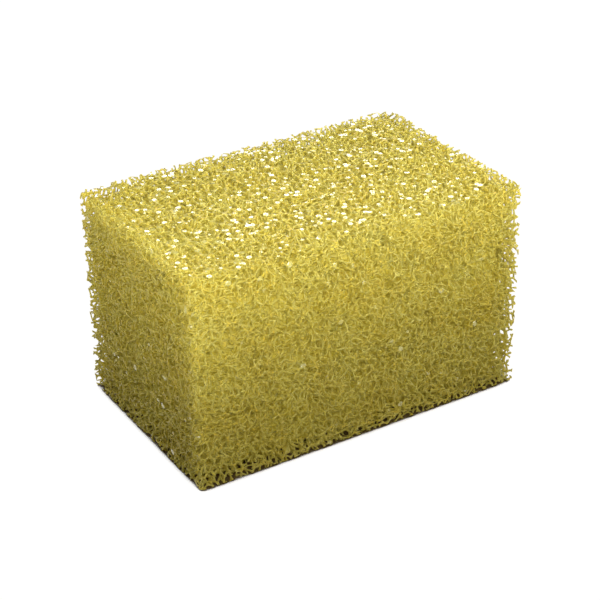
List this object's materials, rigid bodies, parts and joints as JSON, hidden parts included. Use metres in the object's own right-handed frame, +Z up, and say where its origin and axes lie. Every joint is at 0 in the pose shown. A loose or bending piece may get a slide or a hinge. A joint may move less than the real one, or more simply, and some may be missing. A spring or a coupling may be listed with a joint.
{
  "type": "cleaning sponge",
  "caption": "Rectangular block of coarse open-cell foam for washing and wiping, cut square on all six sides.",
  "frame": {"origin": "centre of the underside's outline, on the surface that the block rests on", "axes": "+X along the block's length, +Y across its width towards the back face, +Z up its height, which is its shortest side"},
  "size_m": [0.128, 0.08, 0.078],
  "materials": {
    "foam": "soft reticulated polyurethane foam with thin, slightly glossy yellow struts"
  },
  "bodies": {
    "root": {"sponge": "foam"}
  },
  "joints": []
}
